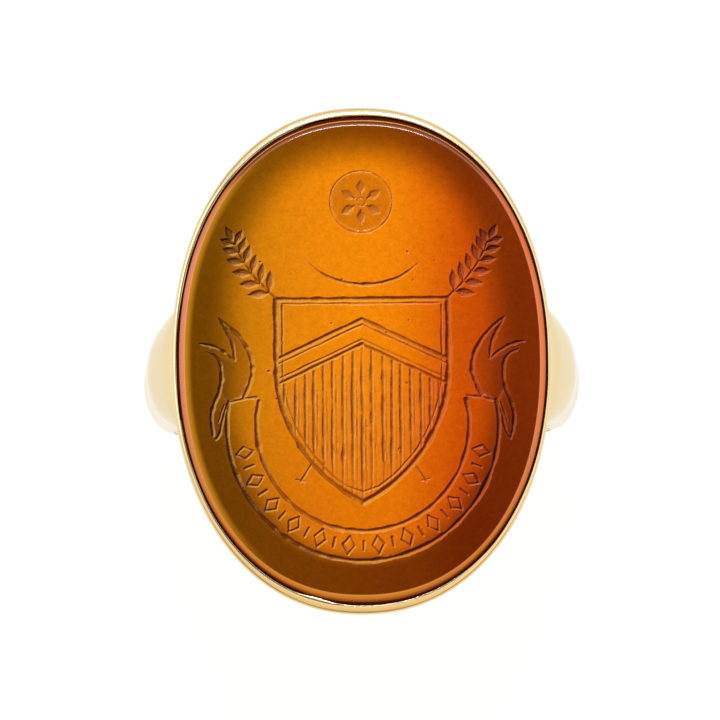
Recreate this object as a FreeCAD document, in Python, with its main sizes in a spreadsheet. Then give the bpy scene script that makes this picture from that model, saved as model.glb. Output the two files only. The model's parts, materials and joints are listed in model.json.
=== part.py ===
import FreeCAD
import Part
import Sketcher
import math
import os

from FreeCAD import Placement, Rotation, Vector

# Signet ring: a plain rubbed-over bezel on a smooth tapering band, holding an engraved stone.
# Everything is in millimetres. The origin is the centre of the finger hole, +Y runs along the
# finger, +Z points up through the head, and +X runs across the finger.

SHEET = "dims"

DIMENSIONS = {
    "bore_diameter": 18.1,
    # Stone: an oval whose sides lean in towards a flat back, with a bevel round the table.
    "stone_width": 17.30,
    "stone_length": 23.00,
    "stone_end_radius": 7.60,
    "stone_bevel": 0.45,
    "stone_taper": 0.36,
    "stone_back_level": 10.20,
    "stone_girdle_level": 12.75,
    "stone_table_level": 13.20,
    "stone_clearance": 0.02,
    # Bezel wall: a tapered cup, and the lip that is rubbed over the stone's bevel.
    "head_width": 17.90,
    "head_length": 24.00,
    "head_end_radius": 8.00,
    "head_taper": 0.50,
    "head_base_level": 8.40,
    "head_straight_level": 12.60,
    "head_rim_level": 12.95,
    "lip_width": 17.20,
    "lip_length": 22.80,
    "lip_end_radius": 7.55,
    "lip_height": 0.12,
    "lip_round": 0.05,
    "rim_round": 0.15,
    # Bearing strip and gallery plate, stacked inside the wall under the stone.
    "bearing_width": 0.80,
    "plate_top_level": 9.65,
    "window_width": 8.40,
    "window_length": 13.60,
    "window_end_radius": 3.70,
    # Band: half widths and thicknesses at the back of the finger, at its sides and at the head.
    "back_half_width": 1.95,
    "back_thickness": 1.35,
    "side_half_width": 2.36,
    "side_thickness": 1.65,
    "neck_half_width": 3.15,
    "edge_height": 0.28,
    "corner_share": 0.76,
    "bore_stock": 0.30,
    "neck_rise_start": 2.10,
    "neck_rise_low": 3.45,
    "neck_rise_high": 4.62,
    "neck_rise_top": 5.45,
    "neck_rise_end": 3.95,
    "seam_level": 1.50,
    "tongue_start": 4.60,
    # Engraving, laid out on the table about the head's centre.
    "engraving_depth": 0.16,
    "shield_half_width": 4.10,
    "shield_top": 2.85,
    "shield_waist": -0.30,
    "shield_tip": -6.75,
    "chevron_apex": 1.90,
    "chevron_fall": 1.90,
    "chevron_width": 1.20,
    "hatch_depth": 0.24,
    "hatch_width": 0.12,
    "hatch_pitch": 0.62,
    "ribbon_centre": -3.10,
    "ribbon_inner_radius": 5.00,
    "ribbon_width": 1.35,
    "ribbon_rise": 1.10,
    "crest_level": 7.30,
    "crest_petal_radius": 0.42,
    "crest_petal_reach": 0.98,
    "garland_half_width": 2.70,
    "garland_level": 4.65,
    "garland_radius": 3.75,
    "garland_thickness": 0.25,
    "leaf_length": 1.50,
    "leaf_radius": 1.15,
}

HATCH_COUNT = 13
PETAL_COUNT = 6

# Leaves of the two sprigs beside the shield: the stalk end of each leaf on the +X side, as
# distances from the head's centre, and the direction the leaf points in, in degrees.
LEAVES = ((4.2, 3.2, 75), (4.4, 3.1, 15), (5.0, 4.2, 85), (5.3, 4.0, 25), (5.7, 5.0, 60))

# Band stations, as angles in degrees from the back of the finger. Up to the side, the section
# changes from the back's to the side's by the share given. Above it, the section widens from the
# side's to the neck's by the share, and its outer line stands as far from the bore as named.
LOWER_STATIONS = ((0, 0.0), (30, 0.15), (60, 0.55), (90, 1.0))
NECK_STATIONS = (
    (110, 0.2, "neck_rise_start"),
    (125, 0.5, "neck_rise_low"),
    (135, 0.8, "neck_rise_high"),
    (142, 1.0, "neck_rise_top"),
    (150, 1.0, "neck_rise_end"),
)

# How a sketch names the two ends and the centre of an arc, its own axes and its origin.
START, END, CENTRE = 1, 2, 3
X_AXIS, Y_AXIS = -1, -2
ORIGIN = (-1, 1)

doc = FreeCAD.newDocument("signet_ring")
sheet = doc.addObject("Spreadsheet::Sheet", SHEET)
for row, (alias, number) in enumerate(DIMENSIONS.items(), start=1):
    sheet.set(f"A{row}", alias)
    sheet.set(f"B{row}", str(number))
    sheet.setAlias(f"B{row}", alias)
doc.recompute()


def cells(expression):
    """The expression with the sheet's name in front of each dimension."""
    words = str(expression).replace("(", "( ").replace(")", " )").split()
    return " ".join(f"{SHEET}.{word}" if word in DIMENSIONS else word for word in words)


def value(expression):
    return float(sheet.evalExpression(cells(expression)))


def new_body(name):
    body = doc.addObject("PartDesign::Body", name)
    body.Label = name
    return body


def new_sketch(body, name, role="XY_Plane", level=None, along=None, turn=0):
    """A sketch on one of the body's own planes, raised, moved along, or turned about its X."""
    sketch = body.newObject("Sketcher::SketchObject", name)
    plane = next(item for item in body.Origin.OriginFeatures if item.Role == role)
    sketch.AttachmentSupport = [(plane, "")]
    sketch.MapMode = "FlatFace"
    sketch.AttachmentOffset = Placement(Vector(), Rotation(Vector(1, 0, 0), turn))
    if level is not None:
        sketch.setExpression("AttachmentOffset.Base.z", cells(level))
    if along is not None:
        sketch.setExpression("AttachmentOffset.Base.y", cells(along))
    return sketch


def fix(sketch, kind, *places, size):
    """Adds a dimension to a sketch and drives it from the sheet."""
    index = sketch.addConstraint(Sketcher.Constraint(kind, *places, value(size)))
    sketch.setExpression(f"Constraints[{index}]", cells(size))


def join(sketch, kind, *places):
    sketch.addConstraint(Sketcher.Constraint(kind, *places))


def add_arc(sketch, centre, radius, start, end):
    circle = Part.Circle(Vector(*centre, 0), Vector(0, 0, 1), radius)
    return sketch.addGeometry(Part.ArcOfCircle(circle, start, end), False)


def add_circle(sketch, x, y, radius):
    circle = Part.Circle(Vector(value(x), value(y), 0), Vector(0, 0, 1), value(radius))
    index = sketch.addGeometry(circle, False)
    fix(sketch, "DistanceX", *ORIGIN, index, CENTRE, size=x)
    fix(sketch, "DistanceY", *ORIGIN, index, CENTRE, size=y)
    fix(sketch, "Radius", index, size=radius)


def add_oval(sketch, half_width, half_length, end_radius):
    """Two long side arcs and two end arcs, tangent where they meet."""
    a, b, r = value(half_width), value(half_length), value(end_radius)
    side_radius = (a * a + (b - r) ** 2 - r * r) / (2 * (a - r))
    meet = math.atan2(b - r, side_radius - a)
    half = math.pi
    right = add_arc(sketch, (a - side_radius, 0), side_radius, -meet, meet)
    top = add_arc(sketch, (0, b - r), r, meet, half - meet)
    left = add_arc(sketch, (side_radius - a, 0), side_radius, half - meet, half + meet)
    bottom = add_arc(sketch, (0, r - b), r, half + meet, 2 * half - meet)
    join(sketch, "Tangent", right, END, top, START)
    for first, second in ((top, left), (left, bottom), (bottom, right)):
        join(sketch, "Coincident", first, END, second, START)
    join(sketch, "Symmetric", top, START, top, END, Y_AXIS)
    join(sketch, "Symmetric", right, START, right, END, X_AXIS)
    join(sketch, "Symmetric", left, START, left, END, X_AXIS)
    join(sketch, "Equal", right, left)
    join(sketch, "Equal", top, bottom)
    for arc, axis, place in ((right, X_AXIS, (a, 0)), (top, Y_AXIS, (0, b))):
        point = sketch.addGeometry(Part.Point(Vector(*place, 0)), True)
        join(sketch, "PointOnObject", point, START, arc)
        join(sketch, "PointOnObject", point, START, axis)
        if axis == X_AXIS:
            fix(sketch, "DistanceX", *ORIGIN, point, START, size=half_width)
        else:
            fix(sketch, "DistanceY", *ORIGIN, point, START, size=half_length)
    fix(sketch, "Radius", top, size=end_radius)


def add_loop(sketch, corners):
    """A closed outline. Each corner is x, y and the radius of the arc on to the next corner:
    None for a straight line, positive for an arc with its centre on the left."""
    places = [Vector(value(x), value(y), 0) for x, y, _ in corners]
    ends = []
    for index, (_, _, radius) in enumerate(corners):
        here, there = places[index], places[(index + 1) % len(places)]
        if radius is None:
            ends.append((sketch.addGeometry(Part.LineSegment(here, there), False), START, END))
            continue
        size = value(radius)
        chord = there - here
        reach = math.sqrt(size * size - chord.Length ** 2 / 4)
        aside = Vector(-chord.y, chord.x, 0).normalize() * math.copysign(reach, size)
        centre = (here + there) / 2 + aside
        angles = [math.atan2(*(place - centre)[1::-1]) for place in (here, there)]
        if size < 0:
            angles.reverse()
        arc = add_arc(sketch, centre[:2], abs(size), *angles)
        ends.append((arc, START, END) if size > 0 else (arc, END, START))
        fix(sketch, "Radius", arc, size=radius if size > 0 else f"0 - ( {radius} )")
    for index, (x, y, _) in enumerate(corners):
        previous, _, previous_end = ends[index - 1]
        current, current_start, _ = ends[index]
        join(sketch, "Coincident", previous, previous_end, current, current_start)
        fix(sketch, "DistanceX", *ORIGIN, current, current_start, size=x)
        fix(sketch, "DistanceY", *ORIGIN, current, current_start, size=y)


def oval_sketch(body, name, level, half_width, half_length, end_radius, inset="0"):
    sketch = new_sketch(body, name, level=level)
    sizes = (f"{size} - ( {inset} )" for size in (half_width, half_length, end_radius))
    add_oval(sketch, *sizes)
    return sketch


def stone_oval(body, name, level, inset):
    sizes = ("stone_width / 2", "stone_length / 2", "stone_end_radius")
    return oval_sketch(body, name, level, *sizes, inset)


def loft(body, name, sketches, kind="AdditiveLoft", ruled=True):
    feature = body.newObject(f"PartDesign::{kind}", name)
    feature.Profile = sketches[0]
    feature.Sections = sketches[1:]
    feature.Ruled = ruled
    doc.recompute()
    return feature


def pad(body, name, sketch, length):
    feature = body.newObject("PartDesign::Pad", name)
    feature.Profile = sketch
    feature.setExpression("Length", cells(length))
    doc.recompute()
    return feature


def pocket(body, name, sketch, depth=None):
    """Cuts down from the sketch, or right through the body both ways if no depth is given."""
    before = body.Shape.Volume
    feature = body.newObject("PartDesign::Pocket", name)
    feature.Profile = sketch
    if depth is None:
        feature.Type = "ThroughAll"
        feature.Midplane = True
    else:
        feature.setExpression("Length", cells(depth))
    doc.recompute()
    if body.Shape.Volume > before - 1e-4:
        raise RuntimeError(f"{name} removes nothing")
    return feature


def cut_bore(body):
    sketch = new_sketch(body, f"{body.Name}_bore", "XZ_Plane")
    add_circle(sketch, "0", "0", "bore_diameter / 2")
    pocket(body, f"{body.Name}_bore_cut", sketch)


def lean(level):
    """How far the stone's side has leaned in at a level below its girdle. The bearing strip and
    the gallery plate carry the same line down to the foot of the wall."""
    slope = "stone_taper / ( stone_girdle_level - stone_back_level )"
    return f"( stone_girdle_level - {level} ) * {slope}"


def shield_fields(sketch, both=True):
    """The fields of the shield above and below a plain chevron, or only the one below it."""
    w, drop = "shield_half_width", "( shield_waist - shield_tip )"
    curve = f"( {w} * {w} + {drop} * {drop} ) / ( 2 * {w} )"
    low = "( chevron_apex - chevron_fall )"
    foot = f"( {low} - chevron_width )"
    sag = f"( shield_waist - {foot} )"
    foot_x = f"sqrt( {curve} * {curve} - {sag} * {sag} ) - {curve} + {w}"
    upper = (
        (f"0 - {w}", "shield_top", None),
        (f"0 - {w}", low, None),
        ("0", "chevron_apex", None),
        (w, low, None),
        (w, "shield_top", None),
    )
    lower = (
        (f"0 - ( {foot_x} )", foot, curve),
        ("0", "shield_tip", curve),
        (foot_x, foot, None),
        ("0", "chevron_apex - chevron_width", None),
    )
    if both:
        add_loop(sketch, upper)
    add_loop(sketch, lower)


def engrave(body):
    """Ribbon, crest, garland and sprigs, cut into the stone's table."""
    ribbon = new_sketch(body, "ribbon_outline", level="stone_table_level")
    rise = "ribbon_rise"
    inner, outer = "ribbon_inner_radius", "( ribbon_inner_radius + ribbon_width )"
    inner_x = f"sqrt( {inner} * {inner} - {rise} * {rise} )"
    outer_x = f"sqrt( {outer} * {outer} - {rise} * {rise} )"
    top = "ribbon_centre + ribbon_rise"
    add_loop(
        ribbon,
        (
            (f"0 - {outer_x}", top, outer),
            ("0", f"ribbon_centre - {outer}", outer),
            (outer_x, top, None),
            (inner_x, top, f"0 - {inner}"),
            ("0", f"ribbon_centre - {inner}", f"0 - {inner}"),
            (f"0 - {inner_x}", top, None),
        ),
    )
    pocket(body, "ribbon", ribbon, "engraving_depth")

    crest = {"level": "stone_table_level", "along": "crest_level"}
    eye = new_sketch(body, "eye_outline", **crest)
    add_circle(eye, "0", "0", "crest_petal_radius")
    pocket(body, "eye", eye, "engraving_depth")
    petal = new_sketch(body, "petal_outline", **crest)
    add_circle(petal, "0", "crest_petal_reach", "crest_petal_radius")
    first_petal = pocket(body, "petal", petal, "engraving_depth")
    petals = body.newObject("PartDesign::PolarPattern", "petals")
    petals.Originals = [first_petal]
    petals.Axis = (petal, ["N_Axis"])
    petals.Angle = 360
    petals.Occurrences = PETAL_COUNT
    body.Tip = petals
    doc.recompute()

    garland = new_sketch(body, "garland_outline", level="stone_table_level")
    add_loop(
        garland,
        (
            ("0 - garland_half_width", "garland_level", "garland_radius"),
            ("garland_half_width", "garland_level", "0 - garland_radius - garland_thickness * 3"),
        ),
    )
    pocket(body, "garland", garland, "engraving_depth")

    sprigs = new_sketch(body, "sprig_outlines", level="stone_table_level")
    for side in (-1, 1):
        for x, y, direction in LEAVES:
            turn = math.radians(direction)
            tip_x = f"{x} + leaf_length * {math.cos(turn):.4f}"
            tip_y = f"{y} + leaf_length * {math.sin(turn):.4f}"
            base = (f"{side} * {x}", y, "leaf_radius")
            tip = (f"{side} * ( {tip_x} )", tip_y, "leaf_radius")
            add_loop(sprigs, (base, tip))
    pocket(body, "sprigs", sprigs, "engraving_depth")


def outer_wall(body):
    """The outside of the bezel wall, as a solid."""
    sizes = ("head_width / 2", "head_length / 2", "head_end_radius")
    levels = (
        ("foot", "head_base_level", "head_taper"),
        ("straight", "head_straight_level", "0"),
        ("edge", "head_rim_level - rim_round", "0"),
        ("rim", "head_rim_level", "rim_round * 0.6"),
    )
    sketches = [
        oval_sketch(body, f"{body.Name}_{name}", level, *sizes, inset)
        for name, level, inset in levels
    ]
    return loft(body, f"{body.Name}_wall", sketches)


def band_section(body, name, angle, half_width, thickness, edge):
    """A D-shaped section of the band in the plane that stands at this angle from the back."""
    sketch = new_sketch(body, name, "YZ_Plane", turn=180 - angle)
    bore = value("bore_diameter / 2")
    w, t, e = value(half_width), value(thickness), value(edge)
    corner = f"corner_share * ( ( {thickness} ) - ( {edge} ) )"
    rc = value(corner)
    crown = ((w - rc) ** 2 + (t - e) ** 2 - rc ** 2) / (2 * (t - e - rc))
    lean_angle = math.atan2(e - t + crown, w - rc)
    base, step, top = bore - value("bore_stock"), bore + e, bore + t
    floor = sketch.addGeometry(Part.LineSegment(Vector(-w, base, 0), Vector(w, base, 0)), False)
    right = sketch.addGeometry(Part.LineSegment(Vector(w, base, 0), Vector(w, step, 0)), False)
    right_corner = add_arc(sketch, (w - rc, step), rc, 0, lean_angle)
    arch = add_arc(sketch, (0, top - crown), crown, lean_angle, math.pi - lean_angle)
    left_corner = add_arc(sketch, (rc - w, step), rc, math.pi - lean_angle, math.pi)
    left = sketch.addGeometry(Part.LineSegment(Vector(-w, step, 0), Vector(-w, base, 0)), False)
    for first, second in ((floor, right), (left, floor)):
        join(sketch, "Coincident", first, END, second, START)
    for first, second in (
        (right, right_corner),
        (right_corner, arch),
        (arch, left_corner),
        (left_corner, left),
    ):
        join(sketch, "Tangent", first, END, second, START)
    join(sketch, "Symmetric", floor, START, floor, END, Y_AXIS)
    join(sketch, "Symmetric", right, END, left, START, Y_AXIS)
    join(sketch, "Equal", right_corner, left_corner)
    fix(sketch, "DistanceX", *ORIGIN, floor, END, size=half_width)
    fix(sketch, "DistanceY", *ORIGIN, floor, END, size="bore_diameter / 2 - bore_stock")
    fix(sketch, "DistanceY", floor, END, right, END, size=f"bore_stock + {edge}")
    fix(sketch, "Radius", right_corner, size=corner)
    peak = sketch.addGeometry(Part.Point(Vector(0, top, 0)), True)
    join(sketch, "PointOnObject", peak, START, arch)
    join(sketch, "PointOnObject", peak, START, Y_AXIS)
    fix(sketch, "DistanceY", *ORIGIN, peak, START, size=f"bore_diameter / 2 + {thickness}")
    return sketch


def build_stone():
    """The stone, with its shield hatched by fine grooves that stop at the edges of the fields."""
    blank = new_body("stone_blank")
    loft(
        blank,
        "stone_form",
        [
            stone_oval(blank, "stone_back", "stone_back_level", "stone_taper"),
            stone_oval(blank, "stone_girdle", "stone_girdle_level", "0"),
            stone_oval(blank, "stone_table", "stone_table_level", "stone_bevel"),
        ],
    )
    engrave(blank)
    fields = new_sketch(blank, "shield_outline", level="stone_table_level")
    shield_fields(fields)
    pocket(blank, "shield", fields, "engraving_depth")

    floor = "stone_table_level - hatch_depth"
    form = new_body("hatch_form")
    form_sketch = new_sketch(form, "hatch_form_outline", level=floor)
    shield_fields(form_sketch, both=False)
    pad(form, "hatch_form_pad", form_sketch, "hatch_depth")
    comb = new_body("hatch_comb")
    tooth = new_sketch(comb, "hatch_tooth_outline", level=floor)
    start = f"0 - hatch_pitch * {(HATCH_COUNT - 1) / 2} - hatch_width / 2"
    add_loop(
        tooth,
        (
            (start, "shield_tip", None),
            (f"{start} + hatch_width", "shield_tip", None),
            (f"{start} + hatch_width", "shield_top", None),
            (start, "shield_top", None),
        ),
    )
    first_tooth = pad(comb, "hatch_tooth", tooth, "hatch_depth")
    teeth = comb.newObject("PartDesign::LinearPattern", "hatch_teeth")
    teeth.Originals = [first_tooth]
    teeth.Direction = (tooth, ["H_Axis"])
    teeth.setExpression("Length", cells(f"hatch_pitch * {HATCH_COUNT - 1}"))
    teeth.Occurrences = HATCH_COUNT
    comb.Tip = teeth
    hatching = doc.addObject("Part::MultiCommon", "hatching")
    hatching.Shapes = [form, comb]
    stone = doc.addObject("Part::Cut", "intaglio_stone")
    stone.Base = blank
    stone.Tool = hatching
    return stone


def build_bezel():
    """The wall, hollowed for the stone, with a lip that leans in over the stone's bevel."""
    body = new_body("bezel_wall")
    outer_wall(body)
    below = "head_base_level - 0.5"
    lip = ("lip_width / 2", "lip_length / 2", "lip_end_radius")
    cavity = [
        stone_oval(body, "cavity_foot", below, f"{lean('( ' + below + ' )')} - stone_clearance"),
        stone_oval(body, "cavity_girdle", "stone_girdle_level", "0 - stone_clearance"),
        oval_sketch(body, "lip_edge", "stone_girdle_level + lip_height", *lip),
        oval_sketch(body, "lip_top", "head_rim_level - lip_round", *lip),
        oval_sketch(body, "lip_mouth", "head_rim_level", *lip, "0 - lip_round"),
    ]
    loft(body, "cavity", cavity, "SubtractiveLoft")
    cut_bore(body)
    return body


def build_bearing():
    """The narrow strip that the stone's back rests on."""
    body = new_body("bearing_strip")
    top, foot = "stone_back_level", "plate_top_level"
    sketches = [
        stone_oval(body, "strip_foot", foot, lean(foot)),
        stone_oval(body, "strip_top", top, lean(top)),
    ]
    loft(body, "strip", sketches)
    opening = stone_oval(body, "strip_opening", top, f"{lean(top)} + bearing_width")
    pocket(body, "strip_hole", opening)
    return body


def build_plate():
    """The plate that closes the wall's foot, curved to the finger and open in the middle."""
    body = new_body("gallery_plate")
    top, foot = "plate_top_level", "head_base_level"
    sketches = [
        stone_oval(body, "plate_foot", foot, lean(foot)),
        stone_oval(body, "plate_top", top, lean(top)),
    ]
    loft(body, "plate", sketches)
    window = ("window_width / 2", "window_length / 2", "window_end_radius")
    pocket(body, "light_window", oval_sketch(body, "window", top, *window))
    cut_bore(body)
    return body


def build_band():
    """The whole band as one form, from shoulder to shoulder round the back of the finger."""
    body = new_body("band_form")
    back, side, neck = "back_half_width", "side_half_width", "neck_half_width"
    sections = {}
    for angle, share in LOWER_STATIONS:
        width = f"{back} + ( {side} - {back} ) * {share}"
        thickness = f"back_thickness + ( side_thickness - back_thickness ) * {share}"
        sections[angle] = sections[-angle] = (width, thickness, "edge_height")
    for angle, share, rise in NECK_STATIONS:
        width = f"{side} + ( {neck} - {side} ) * {share}"
        edge = f"{rise} - side_thickness + edge_height"
        sections[angle] = sections[-angle] = (width, rise, edge)
    sketches = [
        band_section(body, f"section_{number}", angle, *sections[angle])
        for number, angle in enumerate(sorted(sections), start=1)
    ]
    loft(body, "band", sketches, ruled=False)
    cut_bore(body)
    return body


def dividing_box(name, corner, size):
    """A plain box whose corner and size are given as expressions."""
    box = doc.addObject("Part::Box", name)
    for axis, level in zip("xyz", corner):
        box.setExpression(f"Placement.Base.{axis}", cells(level))
    for side, length in zip(("Length", "Width", "Height"), size):
        box.setExpression(side, cells(length))
    return box


def part_of_band(name, band, box, collet=None):
    piece = doc.addObject("Part::Common", name if collet is None else f"{name}_form")
    piece.Base = band
    piece.Tool = box
    if collet is None:
        return piece
    fitted = doc.addObject("Part::Cut", name)
    fitted.Base = piece
    fitted.Tool = collet
    return fitted


band = build_band()
collet = new_body("collet_form")
outer_wall(collet)
near = "0 - bore_diameter"
upper_size = ("bore_diameter - tongue_start", "2 * bore_diameter", "bore_diameter")
lower_size = ("2 * bore_diameter", "2 * bore_diameter", "bore_diameter + seam_level")
lower_box = dividing_box("lower_box", (near, near, near), lower_size)
left_box = dividing_box("left_box", (near, near, "seam_level"), upper_size)
right_box = dividing_box("right_box", ("tongue_start", near, "seam_level"), upper_size)

pieces = [
    build_stone(),
    build_bezel(),
    build_bearing(),
    build_plate(),
    part_of_band("shank", band, lower_box),
    part_of_band("left_shoulder", band, left_box, collet),
    part_of_band("right_shoulder", band, right_box, collet),
]
doc.recompute()

for item in doc.Objects:
    if "Invalid" in item.State or "Error" in item.State:
        raise RuntimeError(f"{item.Name} did not build: {item.State}")
for piece in pieces:
    if piece.Shape.isNull() or not piece.Shape.isValid():
        raise RuntimeError(f"{piece.Label} has no valid shape")

os.makedirs("parts", exist_ok=True)
for piece in pieces:
    piece.Shape.exportStep(f"parts/{piece.Label}.step")
    print(f"{piece.Label}: {len(piece.Shape.Solids)} solid, {piece.Shape.Volume:.1f} mm3")
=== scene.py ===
import json
import math

import bpy
import numpy as np
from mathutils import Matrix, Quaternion, Vector


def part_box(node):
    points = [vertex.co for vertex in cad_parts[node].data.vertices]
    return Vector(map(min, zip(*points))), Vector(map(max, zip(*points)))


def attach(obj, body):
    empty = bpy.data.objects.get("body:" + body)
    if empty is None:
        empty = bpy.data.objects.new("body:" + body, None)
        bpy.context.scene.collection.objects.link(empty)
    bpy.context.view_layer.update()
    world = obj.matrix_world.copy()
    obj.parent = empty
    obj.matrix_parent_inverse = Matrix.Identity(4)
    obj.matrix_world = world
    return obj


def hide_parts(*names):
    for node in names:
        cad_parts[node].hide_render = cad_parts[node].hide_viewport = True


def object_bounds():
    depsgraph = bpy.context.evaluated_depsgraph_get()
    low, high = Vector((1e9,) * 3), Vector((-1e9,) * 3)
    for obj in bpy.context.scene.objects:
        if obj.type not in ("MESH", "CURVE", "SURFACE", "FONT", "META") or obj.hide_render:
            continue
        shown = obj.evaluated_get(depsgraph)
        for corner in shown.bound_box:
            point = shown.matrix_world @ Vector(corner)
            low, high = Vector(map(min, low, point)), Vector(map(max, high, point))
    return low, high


# Looks of a gold signet ring with an engraved oval stone. The frame is the CAD's: the origin is
# the centre of the finger hole, +Y runs along the finger and +Z points up through the head.
# Lengths are in millimetres where the meshes are made, and MM turns them into metres. The
# materials, the stage and the camera work in metres, apart from the stone's inset attribute.

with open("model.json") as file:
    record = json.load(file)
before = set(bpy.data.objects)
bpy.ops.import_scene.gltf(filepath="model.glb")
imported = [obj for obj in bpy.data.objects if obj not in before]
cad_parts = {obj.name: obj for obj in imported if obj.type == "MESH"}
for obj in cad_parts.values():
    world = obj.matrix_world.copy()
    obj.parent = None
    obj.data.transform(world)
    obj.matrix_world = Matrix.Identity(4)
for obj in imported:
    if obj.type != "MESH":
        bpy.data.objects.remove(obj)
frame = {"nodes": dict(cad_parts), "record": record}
CAD_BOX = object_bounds()
MM = 0.001


def node_size(name):
    """Lowest and highest corner of a CAD node, in millimetres."""
    low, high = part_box(name)
    return np.array(low) / MM, np.array(high) / MM


STONE_LOW, STONE_HIGH = node_size("intaglio_stone")
WALL_LOW, WALL_HIGH = node_size("bezel_wall")
BORE = next(m["dims"]["r_mm"] for m in frame["record"]["mounts"] if m["name"] == "finger_bore")

# The ovals are superellipses. A stone's or wall's outline is given by its two half axes.
OVAL_POWER = 2.15
TABLE_POWER = 2.21

# The stone: a flat table, a bevel down to the girdle, and a side that leans in to the back.
TABLE_LEVEL = STONE_HIGH[2]
BACK_LEVEL = STONE_LOW[2]
BEVEL = 0.45
GIRDLE_LEVEL = TABLE_LEVEL - BEVEL
GIRDLE = np.array([STONE_HIGH[0], STONE_HIGH[1]]) + (0.11, 0.08)
TABLE = GIRDLE - (0.42, 0.50)
STONE_LEAN = 0.36

# The wall round the stone. Its lip is rubbed over the bevel, and the stone sits a hair to +X.
RIM_LEVEL = WALL_HIGH[2]
FOOT_LEVEL = WALL_LOW[2]
RIM = np.array([WALL_HIGH[0], WALL_HIGH[1]])
LIP = RIM - (0.19, 0.43)
LIP_START = RIM_LEVEL - 0.29
WALL_TOP = RIM_LEVEL - 0.35
WALL_LEAN = 0.5
SADDLE_TOP = FOOT_LEVEL + 2.1
SEAT_SHIFT = 0.04

# The band has one smooth form, parted at this level into the shank and the shoulders.
SEAM_LEVEL = 1.5

# The stone's colours run from -X to +X and from -Y to +Y over this much, in metres. The depth in
# millimetres at which a cut counts in full, and the side that the cuts' painted light comes from.
COLOUR_WIDTH = 0.016
COLOUR_LENGTH = 0.023
FULL_CUT = 0.12
LIT_FROM = (-0.72, 0.69, 0.0)
STONE_TONE = 0.66

# The camera's distance is in metres, its lens in millimetres and its shift in frame widths.
CAMERA_LEAN = math.radians(5.35)
CAMERA_ROLL = math.radians(0.5)
CAMERA_DISTANCE = 0.300
CAMERA_LENS = 318.5
CAMERA_SHIFT = (-1.5 / 720, -0.35 / 720)

rng = np.random.default_rng(11)


# ---------------------------------------------------------------------------------------------
# Mesh and curve helpers


def oval_reach(angle, half_axes, power=OVAL_POWER):
    """Distance from the centre to the oval with these half axes, in each direction."""
    across = np.abs(np.cos(angle) / half_axes[0]) ** power
    along = np.abs(np.sin(angle) / half_axes[1]) ** power
    return (across + along) ** (-1 / power)


def oval_ring(angle, half_axes, level, power=OVAL_POWER):
    """Points of a level oval, in each direction."""
    reach = oval_reach(angle, half_axes, power)
    return np.stack([reach * np.cos(angle), reach * np.sin(angle), level + 0 * angle], axis=1)


def smooth_curve(x, y):
    """A natural cubic spline through the points, as a function."""
    x, y = np.array(x, float), np.array(y, float)
    gap, rise = np.diff(x), np.diff(y)
    count = len(x)
    system = np.eye(count)
    known = np.zeros(count)
    for i in range(1, count - 1):
        system[i, i - 1:i + 2] = gap[i - 1], 2 * (gap[i - 1] + gap[i]), gap[i]
        known[i] = 6 * (rise[i] / gap[i] - rise[i - 1] / gap[i - 1])
    bend = np.linalg.solve(system, known)

    def curve(at):
        at = np.clip(at, x[0], x[-1])
        i = np.clip(np.searchsorted(x, at) - 1, 0, count - 2)
        left, right = at - x[i], x[i + 1] - at
        return (
            (bend[i] * right ** 3 + bend[i + 1] * left ** 3) / (6 * gap[i])
            + (y[i] / gap[i] - bend[i] * gap[i] / 6) * right
            + (y[i + 1] / gap[i] - bend[i + 1] * gap[i] / 6) * left
        )

    return curve


def make_piece(name, points, faces, material, nodes, normals=None):
    """A smooth mesh object from points in millimetres, riding on the frame."""
    mesh = bpy.data.meshes.new(name)
    mesh.from_pydata((np.asarray(points) * MM).tolist(), [], faces)
    mesh.validate()
    mesh.shade_smooth()
    if normals is not None:
        mesh.normals_split_custom_set_from_vertices(normals.tolist())
    mesh.materials.append(material)
    piece = bpy.data.objects.new(name, mesh)
    bpy.context.scene.collection.objects.link(piece)
    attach(piece, "root")
    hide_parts(*nodes)
    return piece


def strip_faces(rows, length, first=0):
    """Quads between closed rings of points that follow one another in the point list."""
    faces = []
    for row in range(rows - 1):
        start = first + row * length
        for i in range(length):
            j = (i + 1) % length
            faces.append((start + i, start + j, start + length + j, start + length + i))
    return faces


# ---------------------------------------------------------------------------------------------
# Engraving: a raster of depths over the stone's table, cut stroke by stroke


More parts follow.
